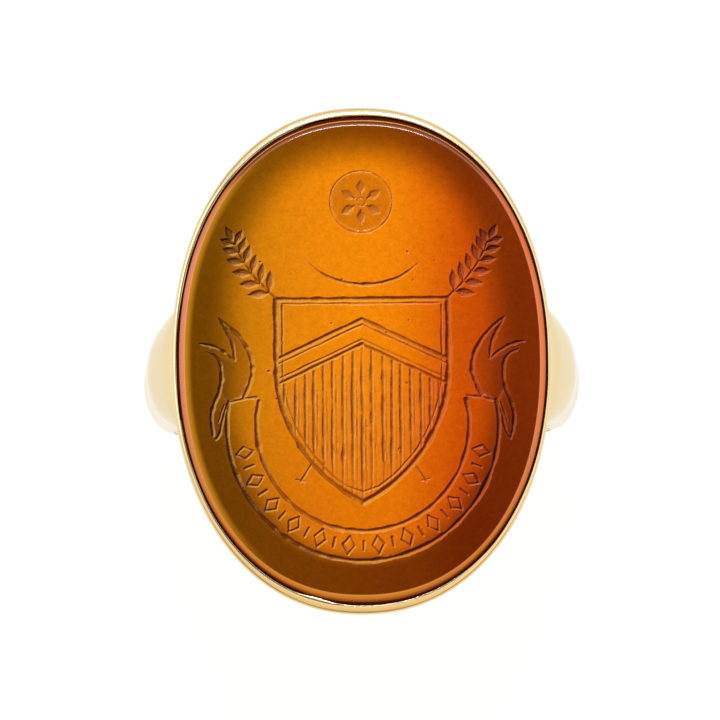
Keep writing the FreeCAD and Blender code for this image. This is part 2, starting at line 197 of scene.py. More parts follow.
class Engraving:
    """Depths below the table on a square raster. Where cuts cross, the deeper one counts."""

    pitch = 0.02
    wander = 0.008

    def __init__(self, half_axes):
        self.half = np.array(half_axes) + 0.1
        shape = np.ceil(2 * self.half / self.pitch).astype(int) + 1
        self.depth = np.zeros(shape)
        self.x = np.arange(shape[0]) * self.pitch - self.half[0]
        self.y = np.arange(shape[1]) * self.pitch - self.half[1]

    def window(self, low, high):
        """The part of the raster between two corners, and its points' x and y."""
        i0, j0 = np.maximum(((np.array(low) + self.half) / self.pitch).astype(int), 0)
        i1, j1 = ((np.array(high) + self.half) / self.pitch).astype(int) + 2
        area = slice(i0, i1), slice(j0, j1)
        return area, self.x[i0:i1, None], self.y[None, j0:j1]

    def segment(self, start, end, width, depth):
        """One straight cut with a rounded V section, its width and depth changing evenly."""
        start, end = np.array(start, float), np.array(end, float)
        margin = max(width) / 2 + self.pitch
        low, high = np.minimum(start, end) - margin, np.maximum(start, end) + margin
        area, x, y = self.window(low, high)
        run = end - start
        length = max(run @ run, 1e-9)
        t = np.clip(((x - start[0]) * run[0] + (y - start[1]) * run[1]) / length, 0, 1)
        away = np.hypot(x - start[0] - t * run[0], y - start[1] - t * run[1])
        half_width = (width[0] + (width[1] - width[0]) * t) / 2
        bottom = depth[0] + (depth[1] - depth[0]) * t
        cut = bottom * np.clip(1 - (away / half_width) ** 1.6, 0, 1)
        self.depth[area] = np.maximum(self.depth[area], cut)

    def stroke(self, points, width, depth, taper=(1, 1)):
        """A cut along a polyline, unsteady as a hand-held wheel leaves it."""
        points = np.array(points, float)
        count = len(points)
        share = np.linspace(0, 1, count)
        swell = np.interp(share, (0, 0.25, 0.75, 1), (taper[0], 1, 1, taper[1]))
        swell = swell * np.clip(1 + rng.normal(0, 0.16, count), 0.5, 1.5)
        points = points + rng.normal(0, self.wander, points.shape)
        for i in range(count - 1):
            widths = width * swell[i], width * swell[i + 1]
            depths = depth * swell[i], depth * swell[i + 1]
            self.segment(points[i], points[i + 1], widths, depths)

    def line(self, start, end, step=0.25, **cut):
        start, end = np.array(start, float), np.array(end, float)
        count = max(2, int(np.linalg.norm(end - start) / step) + 1)
        self.stroke(start + np.linspace(0, 1, count)[:, None] * (end - start), **cut)

    def arc(self, centre, radius, start, end, step=0.2, **cut):
        """An arc between two directions in degrees."""
        count = max(3, int(abs(math.radians(end - start)) * radius / step) + 1)
        turn = np.radians(np.linspace(start, end, count))
        ring = np.stack([np.cos(turn), np.sin(turn)], axis=1) * radius
        self.stroke(ring + np.array(centre), **cut)

    def curve(self, points, step=0.2, **cut):
        """A smooth line through a few points."""
        points = np.array(points, float)
        reach = np.concatenate([[0], np.cumsum(np.linalg.norm(np.diff(points, axis=0), axis=1))])
        at = np.linspace(0, reach[-1], max(3, int(reach[-1] / step) + 1))
        x, y = (smooth_curve(reach, points[:, axis])(at) for axis in (0, 1))
        self.stroke(np.stack([x, y], axis=1), **cut)

    def hollow(self, outline, depth, edge):
        """A shallow sunk area inside a closed outline, with sloping edges."""
        outline = np.array(outline, float)
        area, x, y = self.window(outline.min(0) - edge, outline.max(0) + edge)
        inside = np.zeros((x.shape[0], y.shape[1]), bool)
        away = np.full(inside.shape, 1e9)
        for start, end in zip(outline, np.roll(outline, -1, axis=0)):
            run = end - start
            crosses = (start[1] > y) != (end[1] > y)
            safe = run[1] if abs(run[1]) > 1e-9 else 1e-9
            inside ^= crosses & (x < start[0] + run[0] * (y - start[1]) / safe)
            t = ((x - start[0]) * run[0] + (y - start[1]) * run[1]) / max(run @ run, 1e-9)
            t = np.clip(t, 0, 1)
            gap = np.hypot(x - start[0] - t * run[0], y - start[1] - t * run[1])
            away = np.minimum(away, gap)
        slope = np.clip(away / edge, 0, 1)
        cut = depth * inside * slope * slope * (3 - 2 * slope)
        self.depth[area] = np.maximum(self.depth[area], cut)

    def sample(self, x, y):
        """Depth at any points, interpolated between the raster's."""
        u = np.clip((x + self.half[0]) / self.pitch, 0, self.depth.shape[0] - 1.001)
        v = np.clip((y + self.half[1]) / self.pitch, 0, self.depth.shape[1] - 1.001)
        i, j = u.astype(int), v.astype(int)
        fu, fv = u - i, v - j
        d = self.depth
        low = d[i, j] * (1 - fv) + d[i, j + 1] * fv
        high = d[i + 1, j] * (1 - fv) + d[i + 1, j + 1] * fv
        return low * (1 - fu) + high * fu


# The shield's half width, the levels of its top, its waist and its tip, and the chevron's upper
# edge: its apex, its fall to the shield's sides and its width. Then the ribbon's two arcs, and
# how far above their centre they end.
SHIELD_HALF = 4.05
SHIELD_TOP = 2.85
SHIELD_WAIST = -0.30
SHIELD_TIP = -6.75
CHEVRON_APEX = 1.90
CHEVRON_FALL = 1.90
CHEVRON_WIDTH = 1.20
RIBBON_CENTRE = (0.0, -3.10)
RIBBON_INNER = 5.00
RIBBON_OUTER = 6.40
RIBBON_RISE = 1.15
HATCH_COUNT = 17


def shield_side(level, inset=0.0):
    """Half width of the shield at a level below its top, less an inset."""
    half = SHIELD_HALF - inset
    drop = SHIELD_WAIST - SHIELD_TIP - inset
    radius = (half * half + drop * drop) / (2 * half)
    fall = np.clip(SHIELD_WAIST - np.asarray(level, float), 0, drop)
    return np.sqrt(radius * radius - fall * fall) - (radius - half)


def chevron_level(x, drop=0.0):
    """Level of a chevron line a given drop below the chevron's upper edge."""
    return CHEVRON_APEX - drop - CHEVRON_FALL * abs(x) / SHIELD_HALF


def engrave_shield(work):
    """A blank shield with one chevron, hatched below it."""
    for inset, width, depth in ((0.0, 0.27, 0.14), (0.30, 0.10, 0.06)):
        tip = SHIELD_TIP + inset * 1.6
        levels = np.concatenate([np.linspace(SHIELD_TOP - inset, SHIELD_WAIST, 10),
                                 np.linspace(SHIELD_WAIST - 0.35, tip, 22)])
        side = shield_side(levels, inset)
        side[-1] = 0
        for sign in (-1, 1):
            work.stroke(np.stack([sign * side, levels], axis=1), width=width, depth=depth)
        corner = SHIELD_HALF - inset, SHIELD_TOP - inset * 0.7
        work.line((-corner[0], corner[1]), corner, step=0.4, width=width * 0.8, depth=depth * 0.8)

    reach = SHIELD_HALF - 0.10
    for drop, width in ((0, 0.18), (0.26, 0.09), (CHEVRON_WIDTH - 0.24, 0.09),
                        (CHEVRON_WIDTH, 0.18)):
        for sign in (-1, 1):
            end = sign * reach, chevron_level(reach, drop)
            work.line((0, chevron_level(0, drop)), end, step=0.4, width=width, depth=width * 0.6)

    for x in np.linspace(0.42 - SHIELD_HALF, SHIELD_HALF - 0.42, HATCH_COUNT):
        x = x + rng.normal(0, 0.03)
        top = chevron_level(x, CHEVRON_WIDTH) - 0.15
        levels = np.linspace(top, SHIELD_TIP, 200)
        below = levels[shield_side(levels) > abs(x) + 0.12]
        foot = below[-1] if len(below) else top - 0.2
        for aside, width, begin in ((0.0, 0.19, 0.0), (0.17, 0.09, rng.uniform(0, 0.5))):
            start = top + (foot - top) * begin
            work.line((x + aside, start), (x + aside + rng.normal(0, 0.02), foot), step=0.5,
                      width=width, depth=width * 0.38, taper=(0.8, 0.5))


def engrave_ribbon(work):
    """A blank ribbon under the shield, with folded forked tails and a row of lozenges."""
    for radius in (RIBBON_INNER, RIBBON_OUTER):
        end = math.degrees(math.asin(RIBBON_RISE / radius))
        work.arc(RIBBON_CENTRE, radius, 180 - end, 360 + end, step=0.35, width=0.22, depth=0.12)
    tail = [
        ([(6.33, -2.0), (5.65, -1.85), (4.95, -1.75)], 0.14, 0.08),
        ([(6.70, 1.95), (6.05, 1.40), (5.60, 0.85), (5.25, 0.1), (5.20, -0.7), (5.60, -1.75)],
         0.24, 0.14),
        ([(6.70, 1.95), (6.45, 1.50), (6.15, 0.9), (6.00, 0.0)], 0.20, 0.13),
        ([(7.65, 0.80), (7.05, 0.68), (6.50, 0.40), (6.05, 0.0)], 0.16, 0.11),
        ([(7.35, 0.42), (6.90, 0.20), (6.62, -0.6), (6.75, -1.5), (7.10, -2.5), (7.02, -3.55)],
         0.20, 0.13),
        ([(7.02, -3.55), (6.93, -3.78), (6.80, -3.60), (6.60, -2.9), (6.38, -2.1)], 0.15, 0.11),
        ([(6.80, -2.95), (6.62, -2.45), (6.50, -2.1)], 0.10, 0.08),
    ]
    sunk = np.array([(6.70, 1.95), (6.05, 1.40), (5.60, 0.85), (5.25, 0.1), (5.20, -0.7),
                     (5.60, -1.75), (6.38, -2.1), (6.75, -1.5), (6.62, -0.6), (6.90, 0.20),
                     (7.35, 0.42), (6.05, 0.0), (6.15, 0.9)])
    for sign in (-1, 1):
        work.hollow(sunk * (sign, 1), 0.04, edge=0.15)
        for points, width, depth in tail:
            work.curve(np.array(points) * (sign, 1), width=width, depth=depth, taper=(0.5, 0.8))
    middle = (RIBBON_INNER + RIBBON_OUTER) / 2
    for index, turn in enumerate(np.radians(np.linspace(193, 347, 23))):
        out = np.array([math.cos(turn), math.sin(turn)])
        along = np.array([-out[1], out[0]])
        centre = np.array(RIBBON_CENTRE) + out * middle
        if index % 2:
            work.line(centre - out * 0.22, centre + out * 0.22, width=0.13, depth=0.10)
            continue
        tips = [centre + out * 0.42, centre + along * 0.28, centre - out * 0.42,
                centre - along * 0.28]
        for start, end in zip(tips, tips[1:] + tips[:1]):
            work.line(start, end, width=0.12, depth=0.09)


def leaf_outline(base, turn, length, width):
    """A leaf's outline, from its base in a direction."""
    t = np.linspace(0, 1, 12)
    half = width / 2 * np.sin(np.pi * t ** 0.85)
    along = np.array([math.cos(turn), math.sin(turn)])
    aside = np.array([-along[1], along[0]])
    spine = np.array(base) + t[:, None] * length * along
    return np.concatenate([spine + half[:, None] * aside, (spine - half[:, None] * aside)[::-1]])


def engrave_sprigs(work):
    """Two laurel sprigs crossed behind the shield, with their stalks' ends below it."""
    for sign in (-1, 1):
        stalk = np.array([(4.05, 2.9), (4.9, 3.75), (5.6, 4.75), (6.0, 5.6)])
        x, y = (smooth_curve(range(4), stalk[:, axis]) for axis in (0, 1))
        work.curve(stalk * (sign, 1), width=0.13, depth=0.10, taper=(1, 0.5))
        for t in (0.35, 0.85, 1.35, 1.85, 2.35, 2.85):
            base = np.array([x(t), y(t)])
            ahead = math.atan2(y(t + 0.1) - y(t - 0.1), x(t + 0.1) - x(t - 0.1))
            for side in (-1, 1):
                turn = ahead + side * math.radians(50)
                length = 1.15 - 0.12 * t
                leaf = leaf_outline(base, turn, length, 0.42)
                work.hollow(leaf * (sign, 1), 0.11, edge=0.10)
                tip = base + 0.9 * length * np.array([math.cos(turn), math.sin(turn)])
                work.line(base * (sign, 1), tip * (sign, 1), width=0.09, depth=0.14,
                          taper=(1, 0.4))
        end = leaf_outline((x(3), y(3)), math.radians(62), 0.9, 0.40)
        work.hollow(end * (sign, 1), 0.11, edge=0.10)
        work.line((sign * 2.35, -4.85), (sign * 2.95, -5.75), width=0.09, depth=0.06)
        work.line((sign * 2.75, -5.75), (sign * 3.15, -5.65), width=0.08, depth=0.06)


def engrave_crest(work):
    """A round boss with a six-petalled rosette, over a crescent-shaped garland."""
    centre = np.array([0.0, 7.45])
    turn = np.radians(np.arange(0, 360, 6))
    ring = np.stack([np.cos(turn), np.sin(turn)], axis=1)
    work.hollow(centre + ring * 1.5, 0.035, edge=0.22)
    for petal in np.radians(np.arange(30, 390, 60)):
        direction = np.array([math.cos(petal), math.sin(petal)])
        outline = leaf_outline(centre + direction * 0.28, petal, 0.92, 0.56)
        work.hollow(outline, 0.09, edge=0.16)
        work.line(centre + direction * 0.35, centre + direction * 1.0, width=0.07, depth=0.12,
                  taper=(1, 0.4))
    work.arc(centre, 0.2, 0, 360, step=0.08, width=0.08, depth=0.07)
    work.arc(centre, 1.47, 0, 360, width=0.07, depth=0.05)
    work.curve([(-2.75, 4.80), (-1.8, 4.05), (0.0, 3.55), (1.9, 3.95), (2.75, 4.60)],
               width=0.14, depth=0.11, taper=(0.2, 0.2))


def engrave_wear(work):
    """Faint scratches and small chips from use."""
    for _ in range(46):
        place = rng.uniform(-0.9, 0.9, 2) * TABLE
        if np.sum(np.abs(place / TABLE) ** OVAL_POWER) > 0.85:
            continue
        turn = rng.uniform(0, math.pi)
        reach = rng.uniform(0.05, 0.28)
        step = np.array([math.cos(turn), math.sin(turn)]) * reach
        work.line(place - step, place + step, width=0.035, depth=0.012, taper=(0.3, 0.3))
    for _ in range(16):
        place = rng.uniform(-0.62, 0.62, 2) * TABLE
        work.line(place, place + rng.uniform(-0.08, 0.08, 2), width=0.08, depth=0.07)


# ---------------------------------------------------------------------------------------------
# Stone


def carved_table(work, size=1024, edge_step=4, tolerance=0.009):
    """The table as triangles that are smaller where the engraving needs them.

    A square grid is laid over the table, its sides bent on to the outline. It is halved into
    right triangles, again and again, while a triangle's longest side still has a point to keep
    in its middle: one where the depth is off the straight line by over the tolerance, in mm.
    Returns the points, the triangles, the indices of the outline's points in order, their
    angles, and every point's depth."""
    t = np.linspace(-1, 1, size + 1)
    u, v = np.meshgrid(t, t, indexing="ij")
    disc_x, disc_y = u * np.sqrt(1 - v * v / 2), v * np.sqrt(1 - u * u / 2)
    radius = np.hypot(disc_x, disc_y)
    angle = np.arctan2(disc_y, disc_x)
    reach = oval_reach(angle, TABLE, TABLE_POWER) * radius
    x, y = reach * np.cos(angle), reach * np.sin(angle)
    depth = work.sample(x, y)

    error = np.zeros_like(depth)
    half = size // 2
    while half >= 1:
        s = 2 * half
        corners = depth[::s, ::s]
        centre = (slice(half, None, s), slice(half, None, s))
        first = (corners[:-1, :-1] + corners[1:, 1:]) / 2
        second = (corners[:-1, 1:] + corners[1:, :-1]) / 2
        error[centre] = np.maximum(abs(depth[centre] - first), abs(depth[centre] - second))
        edge_u = (slice(half, None, s), slice(0, None, s))
        edge_v = (slice(0, None, s), slice(half, None, s))
        error[edge_u] = abs(depth[edge_u] - (corners[:-1, :] + corners[1:, :]) / 2)
        error[edge_v] = abs(depth[edge_v] - (corners[:, :-1] + corners[:, 1:]) / 2)
        half //= 2
    keep = error > tolerance
    coarse = 32
    keep[::coarse, ::coarse] = True
    for side in (0, size):
        keep[side, :] = False
        keep[:, side] = False
        keep[side, ::edge_step] = True
        keep[::edge_step, side] = True

    # A point that is kept needs the points that its triangles are halved at on the way to it.
    half = 1
    while half < size:
        s = 2 * half
        edge_u = keep[half::s, ::s]
        edge_v = keep[::s, half::s]
        centre = keep[half::s, half::s]
        centre |= edge_u[:, :-1] | edge_u[:, 1:] | edge_v[:-1, :] | edge_v[1:, :]
        if s < size:
            i, j = np.nonzero(centre)
            for a, b in ((i, j), (i + 1, j), (i, j + 1), (i + 1, j + 1)):
                is_edge = (a + b) % 2 == 1
                keep[a[is_edge] * s, b[is_edge] * s] = True
        half = s

    middle = size // 2, size // 2
    corners = [(0, 0), (size, 0), (size, size), (0, size)]
    active = np.array([(middle, corners[i - 1], corners[i]) for i in (1, 2, 3, 0)])
    triangles = []
    while len(active):
        apex, left, right = active[:, 0], active[:, 1], active[:, 2]
        middle = (left + right) // 2
        whole = ((left + right) % 2 == 0).all(1)
        split = whole & keep[middle[:, 0], middle[:, 1]]
        triangles.append(active[~split])
        apex, left, right, middle = apex[split], left[split], right[split], middle[split]
        active = np.concatenate([np.stack([middle, apex, left], 1),
                                 np.stack([middle, right, apex], 1)])
    triangles = np.concatenate(triangles)
    number = triangles[..., 0] * (size + 1) + triangles[..., 1]
    used, renumbered = np.unique(number, return_inverse=True)
    faces = renumbered.reshape(number.shape)
    flat = used // (size + 1), used % (size + 1)
    points = np.stack([x[flat], y[flat], TABLE_LEVEL - depth[flat]], axis=1)
    on_edge = np.nonzero(radius[flat] > 1 - 1e-9)[0]
    on_edge = on_edge[np.argsort(angle[flat][on_edge])]
    return points, faces, on_edge, angle[flat][on_edge], depth[flat]


def build_stone(material):
    """The stone, closed all round. For the material, its points carry how deep the cut is, from
    0 to 1, and how far inside the table's outline they are, in millimetres."""
    work = Engraving(TABLE)
    engrave_shield(work)
    engrave_ribbon(work)
    engrave_sprigs(work)
    engrave_crest(work)
    engrave_wear(work)
    points, faces, edge, angle, depth = carved_table(work)
    # The profile below the table: a softened edge, the bevel, the leaning side and the back.
    # Each step across the bevel is a share of its width and of its height.
    back = GIRDLE - STONE_LEAN
    across = (0.05, 0.12, 0.20, 0.28, 0.36, 0.55, 0.75, 0.94, 1.0)
    down = (0.005, 0.03, 0.08, 0.15, 0.24, 0.47, 0.71, 0.93, 1.0)
    profile = [
        (TABLE + (GIRDLE - TABLE) * a, TABLE_LEVEL - BEVEL * d,
         TABLE_POWER + (OVAL_POWER - TABLE_POWER) * a)
        for a, d in zip(across, down)
    ]
    profile += [
        (GIRDLE - 0.010, GIRDLE_LEVEL - 0.080, OVAL_POWER),
        ((GIRDLE + back) / 2, (GIRDLE_LEVEL + BACK_LEVEL) / 2, OVAL_POWER),
        (back, BACK_LEVEL + 0.06, OVAL_POWER),
        (back - 0.06, BACK_LEVEL, OVAL_POWER),
    ]
    profile += [(back * share, BACK_LEVEL, OVAL_POWER) for share in (0.9, 0.7, 0.5, 0.3, 0.1)]
    rings = np.concatenate([oval_ring(angle, *step) for step in profile])
    first = len(points)
    count = len(angle)
    links = [(edge[(i + 1) % count], edge[i], first + i, first + (i + 1) % count)
             for i in range(count)]
    body = [face[::-1] for face in strip_faces(len(profile), count, first)]
    pole = first + len(rings)
    last = pole - count
    cap = [(pole, last + (i + 1) % count, last + i) for i in range(count)]
    points = np.concatenate([points, rings, [(0, 0, BACK_LEVEL)]])
    all_faces = faces.tolist() + links + body + cap
    piece = make_piece("intaglio_stone_carved", points + (SEAT_SHIFT, 0, 0), all_faces, material,
                       ["intaglio_stone"])
    cut = piece.data.attributes.new("cut", "FLOAT", "POINT")
    values = np.zeros(len(piece.data.vertices), np.float32)
    values[:len(depth)] = np.clip(depth / FULL_CUT, 0, 1)
    cut.data.foreach_set("value", values)
    inset = piece.data.attributes.new("inset", "FLOAT", "POINT")
    place = np.linalg.norm(points[:, :2], axis=1)
    outline = oval_reach(np.arctan2(points[:, 1], points[:, 0]), TABLE, TABLE_POWER)
    inset.data.foreach_set("value", (outline - place).astype(np.float32))


# ---------------------------------------------------------------------------------------------
# Bezel wall


def build_bezel(material):
    """The wall, with a burnished lip that is a little uneven and bulges in at one place."""
    count = 900
    angle = np.linspace(0, 2 * math.pi, count, endpoint=False)
    wobble = sum(
        np.sin(k * angle + rng.uniform(0, 6.28)) * rng.normal(0, 0.004) for k in range(3, 22)
    )
    bulge_at, bulge_width, bulge = 259, 3.5, 0.10
    wobble = wobble - bulge * np.exp(-((np.degrees(angle) - bulge_at) / bulge_width) ** 2)
    inner = GIRDLE + 0.02
    land = RIM - LIP
    foot_in = inner - 0.614
    foot_out = RIM - WALL_LEAN
    # Half axes and level at each step across the wall: up the outside, over the lip, and down
    # inside. The share of the uneven edge that each step takes comes last.
    steps = [
        (foot_out, FOOT_LEVEL, 0), (foot_out + 0.03, FOOT_LEVEL + 0.05, 0),
        (RIM - 0.25, SADDLE_TOP, 0), (RIM - 0.01, WALL_TOP - 0.10, 0), (RIM, WALL_TOP, 0),
    ]
    for turn in np.radians((6, 14, 24, 34, 44, 54, 64, 74, 84, 90)):
        across = 0.86 * (1 - math.cos(turn))
        level = LIP_START + (RIM_LEVEL - LIP_START) * math.sin(turn)
        steps.append((RIM - land * across, level, 0.3 * across))
    steps += [
        (RIM - land * 0.93, RIM_LEVEL + 0.002, 0.8), (RIM - land * 0.96, RIM_LEVEL, 0.95),
        (RIM - land * 0.975, RIM_LEVEL - 0.03, 1), (LIP, RIM_LEVEL - 0.10, 1),
        (LIP + 0.02, RIM_LEVEL - 0.16, 1), (inner, GIRDLE_LEVEL, 0),
        (inner - STONE_LEAN, BACK_LEVEL, 0), (foot_in, FOOT_LEVEL, 0),
    ]
    rings = []
    for half, level, uneven in steps:
        ring = oval_ring(angle, np.array(half), level)
        scale = 1 + uneven * wobble / np.hypot(ring[:, 0], ring[:, 1])
        ring[:, :2] *= scale[:, None]
        ring[:, 0] += uneven * SEAT_SHIFT
        ring[:, 2] += uneven * wobble * 0.25
        # The foot is hollowed by the finger hole, with a rounded turn into its level part.
        saddle = np.sqrt(np.clip(BORE ** 2 - ring[:, 0] ** 2, 0, None)) - FOOT_LEVEL
        lift = (saddle + np.sqrt(saddle ** 2 + 0.02)) / 2
        ring[:, 2] += lift * np.clip((SADDLE_TOP - level) / (SADDLE_TOP - FOOT_LEVEL), 0, 1)
        rings.append(ring)
    points = np.concatenate(rings)
    faces = strip_faces(len(steps), count)
    last = (len(steps) - 1) * count
    faces += [(last + i, last + (i + 1) % count, (i + 1) % count, i) for i in range(count)]
    make_piece("bezel_wall_burnished", points, faces, material, ["bezel_wall"])


# ---------------------------------------------------------------------------------------------
# Band: one smooth form, parted into the shank and two shoulders


# Half width and thickness of the band, at angles in degrees from the back of the finger.
BAND_ANGLES = (0, 30, 60, 90, 111, 126, 135.5, 142, 150)
HALF_WIDTH = smooth_curve(BAND_ANGLES, (1.95, 2.02, 2.18, 2.34, 2.42, 2.52, 2.88, 3.05, 3.15))
THICKNESS = smooth_curve(BAND_ANGLES, (1.35, 1.40, 1.52, 1.64, 2.08, 3.60, 4.72, 5.45, 5.0))
CROWN_HEIGHT = 1.50
CROWN_POWER = 1.95
INNER_ROUND = 0.20

# A shoulder's lines end inside the head by this much, or where they come this near its middle.
HEAD_OVERLAP = 0.08
TONGUE_START = 4.6

# A step from 0 to 1 goes once round the section: from the middle of the side on the finger, over
# an inner corner, up a side, over the crown, and back the same way. These are its turning points.
CORNER, SIDE, CROWN, FAR_SIDE, FAR_CORNER, INSIDE = 0.06, 0.14, 0.20, 0.70, 0.76, 0.84


def band_points(theta, step):
    """Points of the band at angles in degrees from the back of the finger, and at steps round
    the section."""
    def share(start, end):
        return np.clip((step - start) / (end - start), 0, 1)

    half = HALF_WIDTH(np.abs(theta))
    flat = half - INNER_ROUND
    thick = THICKNESS(np.abs(theta))
    crown = np.minimum(CROWN_HEIGHT, thick - 0.12)
    side_top = thick - crown
    corner = share(CORNER, SIDE) * np.pi / 2
    turn = share(CROWN, FAR_SIDE) * np.pi
    far_corner = share(FAR_CORNER, INSIDE) * np.pi / 2
    over = np.sign(np.cos(turn)) * np.abs(np.cos(turn)) ** (2 / CROWN_POWER)
    spans = (step < CORNER, step < SIDE, step < CROWN, step <= FAR_SIDE, step <= FAR_CORNER,
             step <= INSIDE)
    across = np.select(spans, (
        flat * share(0, CORNER), flat + INNER_ROUND * np.sin(corner), half,
        half * over, -half, -half + INNER_ROUND * (1 - np.cos(far_corner)),
    ), flat * (share(INSIDE, 1) - 1))
    out = np.select(spans, (
        0, INNER_ROUND * (1 - np.cos(corner)),
        INNER_ROUND + share(SIDE, CROWN) * (side_top - INNER_ROUND),
        side_top + crown * np.abs(np.sin(turn)) ** (2 / CROWN_POWER),
        side_top + share(FAR_SIDE, FAR_CORNER) * (INNER_ROUND - side_top),
        INNER_ROUND * (1 - np.sin(far_corner)),
    ), 0)
    angle = np.radians(theta)
    reach = BORE + out
    return np.stack([reach * np.sin(angle), across, -reach * np.cos(angle)], axis=-1)


def section_steps():
    """Steps round the section, closer together where it curves."""
    starts = (0, CORNER, SIDE, CROWN, FAR_SIDE, FAR_CORNER, INSIDE, 1)
    counts = (3, 6, 4, 48, 4, 6, 5)
    spans = zip(starts, starts[1:], counts)
    return np.concatenate([np.linspace(*span, endpoint=False) for span in spans])


def inside_head(points, margin):
    """Whether points are inside the bezel wall's outside, by at least a margin."""
    level = points[..., 2]
    lean = WALL_LEAN * np.clip((WALL_TOP - level) / (WALL_TOP - FOOT_LEVEL), 0, 1)
    half = RIM[0] - lean - margin, RIM[1] - lean - margin
    away = np.abs(points[..., 0] / half[0]) ** OVAL_POWER
    away = away + np.abs(points[..., 1] / half[1]) ** OVAL_POWER
    return (away < 1) & (level > FOOT_LEVEL + margin)


def band_limits(steps):
    """For each line along the band, the angles of the seam and of its end at the head."""
    fine = np.linspace(90, 150, 1201)
    grid = band_points(fine[:, None], steps[None, :])
    above = grid[..., 2] >= SEAM_LEVEL
    seam = fine[above.argmax(0)]
    stops = inside_head(grid, HEAD_OVERLAP) | (grid[..., 0] < TONGUE_START)
    stops[-1] = True
    return seam, fine[stops.argmax(0)]


def band_normals(theta, step):
    """Outward normals, from the form's own slopes."""
    turn, shift = 0.2, 0.002
    along = band_points(theta + turn, step) - band_points(theta - turn, step)
    across = band_points(theta, (step + shift) % 1) - band_points(theta, (step - shift) % 1)
    normal = np.cross(along, across)
    return normal / np.maximum(np.linalg.norm(normal, axis=-1, keepdims=True), 1e-9)


def build_band(material):
    """The shank and the two shoulders, each closed by a flat end at its seams."""
    steps = section_steps()
    seam, end = band_limits(steps)
    count = len(steps)
    spans = {
        "shank_polished": (-seam, seam, 181, "shank"),
        "right_shoulder_polished": (seam, end, 61, "right_shoulder"),
        "left_shoulder_polished": (-end, -seam, 61, "left_shoulder"),
    }
    for name, (start, stop, rows, node) in spans.items():
        share = np.linspace(0, 1, rows)[:, None]
        theta = start[None, :] * (1 - share) + stop[None, :] * share
        step = np.broadcast_to(steps[None, :], theta.shape)
        points = band_points(theta, step).reshape(-1, 3)
        normals = band_normals(theta, step).reshape(-1, 3)
        faces = [face[::-1] for face in strip_faces(rows, count)]
        for row, flip in ((0, False), (rows - 1, True)):
            ring = list(range(row * count, (row + 1) * count))
            middle = points[ring].mean(0)
            pole = len(points)
            points = np.concatenate([points, [middle]])
            normals = np.concatenate([normals, [(0, 0, 1)]])
            for i in range(count):
                corner = (ring[i], ring[(i + 1) % count], pole)
                faces.append(corner[::-1] if flip else corner)
        make_piece(name, points, faces, material, [node], normals)


# ---------------------------------------------------------------------------------------------
# Materials


def srgb(red, green, blue):
    """A screen colour from 0 to 255 as linear light."""
    def one(value):
        value /= 255
        return value / 12.92 if value <= 0.04045 else ((value + 0.055) / 1.055) ** 2.4
    return one(red), one(green), one(blue), 1.0


class Nodes:
    """Short ways to add and link shader nodes. An input is a number, a tuple or a socket."""

    def __init__(self, tree):
        self.tree = tree
        tree.nodes.clear()

    def add(self, kind, **settings):
        node = self.tree.nodes.new(kind)
        for name, value in settings.items():
            setattr(node, name, value)
        return node

    def link(self, source, target):
        if isinstance(source, (int, float, tuple)):
            target.default_value = source
        else:
            self.tree.links.new(source, target)

    def math(self, operation, first, second=0.0, third=None):
        node = self.add("ShaderNodeMath", operation=operation)
        self.link(first, node.inputs[0])
        self.link(second, node.inputs[1])
        if third is not None:
            self.link(third, node.inputs[2])
        return node.outputs[0]

    def rescale(self, value, low, high, to_low=0.0, to_high=1.0):
        """A smooth step between two numbers while the value goes from low to high."""
        node = self.add("ShaderNodeMapRange", interpolation_type="SMOOTHSTEP")
        for index, item in enumerate((value, low, high, to_low, to_high)):
            self.link(item, node.inputs[index])
        return node.outputs[0]

    def ramp(self, value, stops, interpolation="LINEAR"):
        """The colour at the value, between the stops' colours."""
        node = self.add("ShaderNodeValToRGB")
        ramp = node.color_ramp
        ramp.interpolation = interpolation
        while len(ramp.elements) < len(stops):
            ramp.elements.new(0.5)
        for element, (position, colour) in zip(ramp.elements, stops):
            element.position = position
            element.color = colour
        self.link(value, node.inputs[0])
        return node.outputs[0]

    def mix(self, factor, first, second, blend="MIX"):
        node = self.add("ShaderNodeMix", data_type="RGBA", blend_type=blend)
        self.link(factor, node.inputs[0])
        self.link(first, node.inputs[6])
        self.link(second, node.inputs[7])
        return node.outputs[2]

    def multiply(self, first, second):
        return self.mix(1.0, first, second, "MULTIPLY")

    def noise(self, vector, scale, detail, roughness=0.5):
        node = self.add("ShaderNodeTexNoise")
        self.link(vector, node.inputs["Vector"])
        node.inputs["Scale"].default_value = scale
        node.inputs["Detail"].default_value = detail
        node.inputs["Roughness"].default_value = roughness
        return node.outputs["Fac"]


def new_material(name):
    material = bpy.data.materials.new(name)
    material.use_nodes = True
    return material, Nodes(material.node_tree)


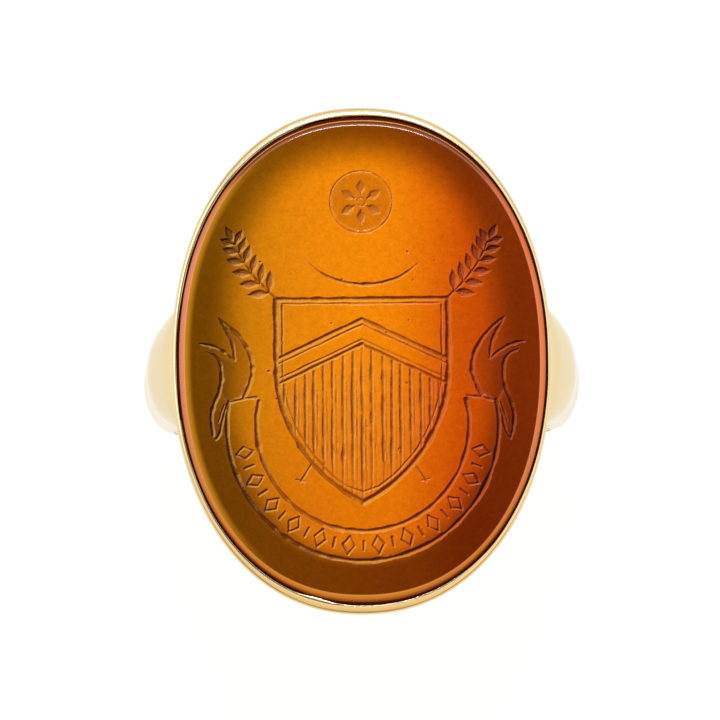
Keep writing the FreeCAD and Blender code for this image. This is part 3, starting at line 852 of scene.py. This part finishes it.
def gold_material(name, colour, roughness, wear, relief):
    """Yellow gold with faint scratches and a slow change of tone."""
    material, n = new_material(name)
    place = n.add("ShaderNodeTexCoord").outputs["Object"]
    shader = n.add("ShaderNodeBsdfPrincipled")
    output = n.add("ShaderNodeOutputMaterial")
    shader.inputs["Metallic"].default_value = 1.0
    shader.inputs["Specular Tint"].default_value = (0.93, 0.92, 0.89, 1)
    slow = n.noise(place, 160, 2.0)
    fine = n.noise(place, 2600, 4.0, 0.6)
    stretch = n.add("ShaderNodeMapping")
    stretch.inputs["Scale"].default_value = (900, 5200, 900)
    stretch.inputs["Rotation"].default_value = (0.3, 0.2, 0.5)
    n.link(place, stretch.inputs["Vector"])
    scratch = n.noise(stretch.outputs[0], 1.0, 5.0, 0.7)
    deep = tuple(c * 0.93 for c in colour[:3]) + (1.0,)
    n.link(n.mix(slow, colour, deep), shader.inputs["Base Color"])
    rough = n.math("ADD", n.math("MULTIPLY", fine, wear), roughness)
    rough = n.math("ADD", rough, n.rescale(scratch, 0.58, 0.72, 0.0, wear * 1.5))
    n.link(rough, shader.inputs["Roughness"])
    bump = n.add("ShaderNodeBump")
    bump.inputs["Strength"].default_value = relief
    bump.inputs["Distance"].default_value = 0.00002
    height = n.math("ADD", n.math("MULTIPLY", scratch, 0.6), n.math("MULTIPLY", slow, 1.2))
    n.link(height, bump.inputs["Height"])
    n.link(bump.outputs[0], shader.inputs["Normal"])
    n.link(shader.outputs[0], output.inputs[0])
    return material


def table_colour(n, place, inset, across, sway, x, y):
    """Orange in the middle, redder to the right, olive to the left, with painted shade at the
    edges.
    """
    middle = n.ramp(across, [
        (0.00, srgb(150, 92, 6)), (0.16, srgb(206, 128, 12)), (0.30, srgb(228, 134, 12)),
        (0.46, srgb(242, 140, 9)), (0.60, srgb(240, 134, 8)), (0.70, srgb(226, 108, 7)),
        (0.80, srgb(206, 82, 6)), (1.00, srgb(176, 62, 8)),
    ], "B_SPLINE")
    # Painted shade: the colours of the table's edge where the wall shades it.
    edge = n.ramp(across, [
        (0.00, srgb(112, 66, 2)), (0.20, srgb(122, 70, 3)), (0.40, srgb(126, 64, 3)),
        (0.65, srgb(124, 54, 3)), (0.80, srgb(116, 42, 4)), (1.00, srgb(124, 44, 5)),
    ])
    # Painted shade of the wall along the table's edge. The dark edge is wider at the sides, and
    # wider below than above. The edge is paler above, and the edge and the middle are darker
    # below.
    side = n.math("POWER", n.math("MULTIPLY", x, 2 / COLOUR_WIDTH), 2.0)
    width = n.math("MULTIPLY_ADD", side, 1.1, 2.1)
    depth_in = n.math("ADD", n.math("DIVIDE", inset, width), n.math("MULTIPLY", sway, 1.2))
    begins = n.math("MULTIPLY_ADD", y, -0.24 / 0.011, 0.30)
    above = n.rescale(y, 0.002, 0.008)
    below = n.rescale(y, 0.000, -0.008)
    edge = n.mix(above, edge, n.multiply(edge, (1.16, 1.26, 1.20, 1)))
    edge = n.mix(below, edge, n.multiply(edge, (0.88, 0.80, 0.90, 1)))
    middle = n.mix(below, middle, n.multiply(middle, (0.86, 0.72, 0.90, 1)))
    colour = n.mix(n.rescale(depth_in, begins, 1.15), edge, middle)

    # The fine grain of the agate.
    grain = n.math("ADD", n.noise(place, 3200, 3.0, 0.6), n.noise(place, 9000, 2.0, 0.6))
    grain = n.math("MULTIPLY_ADD", grain, 0.40, 0.60)
    tone = n.add("ShaderNodeCombineColor")
    for socket in tone.inputs[:3]:
        n.link(grain, socket)
    colour = n.multiply(colour, tone.outputs[0])

    # Painted highlight: a golden glow painted just inside the table's edge, on the left.
    glow = n.math("MULTIPLY", n.rescale(inset, 0.35, 0.0), n.rescale(x, -0.004, -0.0075, 0.0, 0.8))
    return n.mix(glow, colour, srgb(205, 140, 30))


def cut_colour(n, place, across, cut, colour):
    """Painted light and shade on the cuts: a painted highlight on the walls that face LIT_FROM,
    and painted shade on the walls that face away and in the deeper cuts.
    """
    normal = n.add("ShaderNodeNewGeometry").outputs["Normal"]
    facing = n.add("ShaderNodeVectorMath", operation="DOT_PRODUCT")
    n.link(normal, facing.inputs[0])
    n.link(LIT_FROM, facing.inputs[1])
    rough_cut = n.math("MULTIPLY_ADD", n.noise(place, 9000, 3.0, 0.7), 0.9, -0.45)
    slope = n.math("MULTIPLY_ADD", rough_cut, cut, facing.outputs["Value"])
    # Painted shade colour for the cuts.
    dark = n.multiply(colour, srgb(140, 108, 70))
    shine = n.ramp(across, [
        (0.0, srgb(240, 180, 85)), (0.5, srgb(255, 185, 60)), (0.75, srgb(250, 130, 50)),
        (1.0, srgb(190, 80, 40)),
    ])
    # Painted highlight on the walls that face the painted light's direction.
    light = n.mix(0.72, colour, shine)
    # Painted shade in the recesses: the deeper the cut, the darker its colour.
    sunk = n.mix(n.rescale(cut, 0.0, 0.5, 0.0, 0.5), colour, dark)
    # Painted shade on the walls that face away from the painted light's direction.
    carved = n.mix(n.rescale(slope, -0.06, -0.50), sunk, dark)
    return n.mix(n.rescale(slope, 0.08, 0.50, 0.0, 0.9), carved, light)


def bevel_colour(n, x, y, z):
    """Painted light and shade on the bevel: a pale painted reflection at the sides, painted shade
    and a painted highlight line at the top, painted shade low on the bevel below, and a painted
    shadow of the lip along the girdle.
    """
    along = n.math("MULTIPLY_ADD", y, 1 / COLOUR_LENGTH, 0.5)
    # Painted reflection: pale salmon at the sides, as the bevel mirrors the bright surroundings,
    # with painted shade towards the top.
    left = n.ramp(along, [
        (0.00, srgb(236, 150, 52)), (0.12, srgb(236, 148, 52)), (0.30, srgb(232, 148, 80)),
        (0.50, srgb(236, 150, 112)), (0.72, srgb(232, 146, 108)), (0.85, srgb(215, 130, 62)),
        (0.93, srgb(130, 55, 10)), (1.00, srgb(110, 45, 5)),
    ])
    right = n.ramp(along, [
        (0.00, srgb(236, 150, 52)), (0.12, srgb(238, 142, 58)), (0.30, srgb(240, 142, 84)),
        (0.50, srgb(248, 142, 90)), (0.72, srgb(240, 128, 74)), (0.85, srgb(215, 110, 58)),
        (0.93, srgb(150, 70, 20)), (1.00, srgb(110, 45, 5)),
    ])
    sides = n.mix(n.rescale(x, -0.003, 0.003), left, right)
    drop = n.rescale(z, TABLE_LEVEL * MM, GIRDLE_LEVEL * MM)
    # Painted shade and highlight at the top: dark bands of shade and a bright painted highlight
    # line.
    top = n.ramp(drop, [
        (0.00, srgb(150, 75, 15)), (0.18, srgb(84, 30, 3)), (0.28, srgb(110, 45, 6)),
        (0.36, srgb(250, 190, 112)), (0.43, srgb(240, 165, 85)), (0.52, srgb(125, 52, 10)),
        (0.70, srgb(90, 30, 5)), (1.00, srgb(50, 14, 1)),
    ])
    # Painted shade on the lower part of the bevel, at the bottom of the oval.
    shade = n.multiply(sides, srgb(170, 140, 110))
    foot = n.math("MULTIPLY", n.rescale(along, 0.30, 0.10), n.rescale(drop, 0.15, 0.62))
    bevel = n.mix(foot, sides, shade)
    bevel = n.mix(n.rescale(along, 0.84, 0.92), bevel, top)
    # Painted shadow of the lip: the outer part of the bevel is dark where the wall shades it.
    return n.mix(n.rescale(drop, 0.68, 0.76), bevel, srgb(88, 28, 4))


def stone_material():
    """Carnelian. The colours for the table, the cuts and the bevel hold painted light and shade as
    well as the stone's own colour.
    """
    material, n = new_material("carnelian")
    place = n.add("ShaderNodeTexCoord").outputs["Object"]
    split = n.add("ShaderNodeSeparateXYZ")
    n.link(place, split.inputs[0])
    x, y, z = split.outputs
    inset = n.add("ShaderNodeAttribute", attribute_name="inset").outputs["Fac"]
    cut = n.add("ShaderNodeAttribute", attribute_name="cut").outputs["Fac"]
    sway = n.math("MULTIPLY_ADD", n.noise(place, 190, 3.0), 0.10, -0.05)
    across = n.math("ADD", n.math("MULTIPLY_ADD", x, 1 / COLOUR_WIDTH, 0.5), sway)
    colour = table_colour(n, place, inset, across, sway, x, y)
    colour = cut_colour(n, place, across, cut, colour)
    colour = n.mix(n.rescale(inset, -0.01, -0.05), colour, bevel_colour(n, x, y, z))

    shader = n.add("ShaderNodeBsdfPrincipled")
    shader.inputs["IOR"].default_value = 1.54
    shader.inputs["Specular IOR Level"].default_value = 0.08
    colour = n.multiply(colour, (STONE_TONE, STONE_TONE, STONE_TONE, 1))
    n.link(colour, shader.inputs["Base Color"])
    polish = n.math("MULTIPLY_ADD", n.noise(place, 900, 3.0), 0.04, 0.03)
    rough = n.math("ADD", polish, n.math("MULTIPLY", cut, 0.30))
    n.link(rough, shader.inputs["Roughness"])
    # The edge round the table catches the light, more so at the top.
    arris = n.math("MULTIPLY", n.rescale(inset, 0.02, 0.0), n.rescale(inset, -0.12, -0.08))
    arris = n.math("MULTIPLY", arris, n.rescale(y, 0.005, 0.009, 0.25, 1.0))
    n.link(arris, shader.inputs["Coat Weight"])
    shader.inputs["Coat IOR"].default_value = 1.6
    shader.inputs["Coat Roughness"].default_value = 0.06
    output = n.add("ShaderNodeOutputMaterial")
    n.link(shader.outputs[0], output.inputs[0])
    return material


# ---------------------------------------------------------------------------------------------
# Build the pieces


gold = gold_material("polished_gold", (0.85, 0.68, 0.38, 1.0), 0.09, 0.06, 0.12)
inner_gold = gold_material("brushed_gold", (0.88, 0.66, 0.32, 1.0), 0.22, 0.15, 0.3)
carnelian = stone_material()

build_stone(carnelian)
build_bezel(gold)
build_band(gold)
for name in ("gallery_plate", "bearing_strip"):
    node = frame["nodes"][name]
    node.data.materials.clear()
    node.data.materials.append(inner_gold)


# ---------------------------------------------------------------------------------------------
# Floor, light and camera


def build_floor():
    """A glowing light table under the ring, dimmer far out and warmer in front."""
    material, n = new_material("light_table")
    place = n.add("ShaderNodeTexCoord").outputs["Object"]
    length = n.add("ShaderNodeVectorMath", operation="LENGTH")
    n.link(place, length.inputs[0])
    shader = n.add("ShaderNodeBsdfPrincipled")
    shader.inputs["Base Color"].default_value = (0.05, 0.05, 0.05, 1)
    shader.inputs["Roughness"].default_value = 0.6
    split = n.add("ShaderNodeSeparateXYZ")
    n.link(place, split.inputs[0])
    front = n.rescale(split.outputs[1], -0.03, -0.25)
    glow = n.mix(front, (1.0, 0.995, 0.985, 1), (1.0, 0.80, 0.55, 1))
    n.link(glow, shader.inputs["Emission Color"])
    n.link(n.rescale(length.outputs["Value"], 0.06, 0.25, 0.94, 0.68),
           shader.inputs["Emission Strength"])
    output = n.add("ShaderNodeOutputMaterial")
    n.link(shader.outputs[0], output.inputs[0])
    mesh = bpy.data.meshes.new("floor")
    half, gap = 3.0, 0.00002
    level = CAD_BOX[0].z - gap
    corners = [(x * half, y * half, level) for x, y in ((-1, -1), (1, -1), (1, 1), (-1, 1))]
    mesh.from_pydata(corners, [], [(0, 1, 2, 3)])
    mesh.materials.append(material)
    floor = bpy.data.objects.new("floor", mesh)
    bpy.context.scene.collection.objects.link(floor)


def build_world():
    """A soft studio. It is brighter overhead and to the right, dimmer in the corners and warm in
    front, with a dark spot in the direction that the stone's table mirrors to the camera."""
    world = bpy.data.worlds.new("studio")
    bpy.context.scene.world = world
    world.use_nodes = True
    n = Nodes(world.node_tree)
    direction = n.add("ShaderNodeTexCoord").outputs["Generated"]
    split = n.add("ShaderNodeSeparateXYZ")
    n.link(direction, split.inputs[0])
    tone = n.rescale(split.outputs[2], 0.0, 0.5, 0.60, 1.05)
    right = n.rescale(split.outputs[0], 0.15, 0.60, 1.0, 1.22)
    tone = n.math("MULTIPLY", tone, right)
    corner = n.math("ABSOLUTE", n.math("MULTIPLY", split.outputs[0], split.outputs[1]))
    tone = n.math("MULTIPLY", tone, n.rescale(corner, 0.28, 0.48, 1.0, 0.62))
    towards_front = n.math("MULTIPLY", split.outputs[1], -1.0)
    front = n.ramp(towards_front, [
        (0.00, (1.0, 0.99, 0.97, 1)), (0.25, (0.98, 0.87, 0.70, 1)), (0.60, (0.95, 0.80, 0.56, 1)),
        (0.85, (0.90, 0.70, 0.42, 1)), (0.97, (0.60, 0.42, 0.20, 1)),
    ])
    lens = n.add("ShaderNodeVectorMath", operation="DOT_PRODUCT")
    n.link(direction, lens.inputs[0])
    lens.inputs[1].default_value = (0, math.sin(CAMERA_LEAN), math.cos(CAMERA_LEAN))
    rim, core = math.cos(math.radians(9)), math.cos(math.radians(6))
    spot = n.rescale(lens.outputs["Value"], rim, core, 1.0, 0.04)
    background = n.add("ShaderNodeBackground")
    n.link(n.math("MULTIPLY", tone, spot), background.inputs["Strength"])
    n.link(front, background.inputs["Color"])
    output = n.add("ShaderNodeOutputWorld")
    n.link(background.outputs[0], output.inputs[0])


def softbox(name, place, target, size, power):
    """A rectangular lamp at a place, aimed at the target. Lengths are metres, power is watts."""
    lamp = bpy.data.lights.new(name, "AREA")
    lamp.shape = "RECTANGLE"
    lamp.size, lamp.size_y = size
    lamp.energy = power
    box = bpy.data.objects.new(name, lamp)
    box.location = place
    box.rotation_euler = (Vector(target) - Vector(place)).to_track_quat("-Z", "Y").to_euler()
    bpy.context.scene.collection.objects.link(box)


def build_camera():
    """Looks down on the table, leaning a little towards the foot of the design, and rolled."""
    target = Vector((0, 0, RIM_LEVEL * MM))
    camera = bpy.data.cameras.new("camera")
    camera.sensor_width = 36.0
    camera.lens = CAMERA_LENS
    camera.clip_start, camera.clip_end = 0.01, 20.0
    holder = bpy.data.objects.new("camera", camera)
    back = Vector((0, -math.sin(CAMERA_LEAN), math.cos(CAMERA_LEAN)))
    holder.location = target + back * CAMERA_DISTANCE
    holder.rotation_mode = "QUATERNION"
    level = (-back).to_track_quat("-Z", "Y")
    holder.rotation_quaternion = level @ Quaternion((0, 0, 1), -CAMERA_ROLL)
    camera.shift_x, camera.shift_y = CAMERA_SHIFT
    bpy.context.scene.collection.objects.link(holder)
    bpy.context.scene.camera = holder


bpy.context.scene.view_settings.view_transform = "Standard"
build_floor()
build_world()
head = (0, 0, RIM_LEVEL * MM)
softbox("top_light", (0, 0.225, 0.40), head, (0.15, 0.07), 1.1)
softbox("left_light", (-0.35, 0.10, 0.28), head, (0.28, 0.28), 0.3)
build_camera()
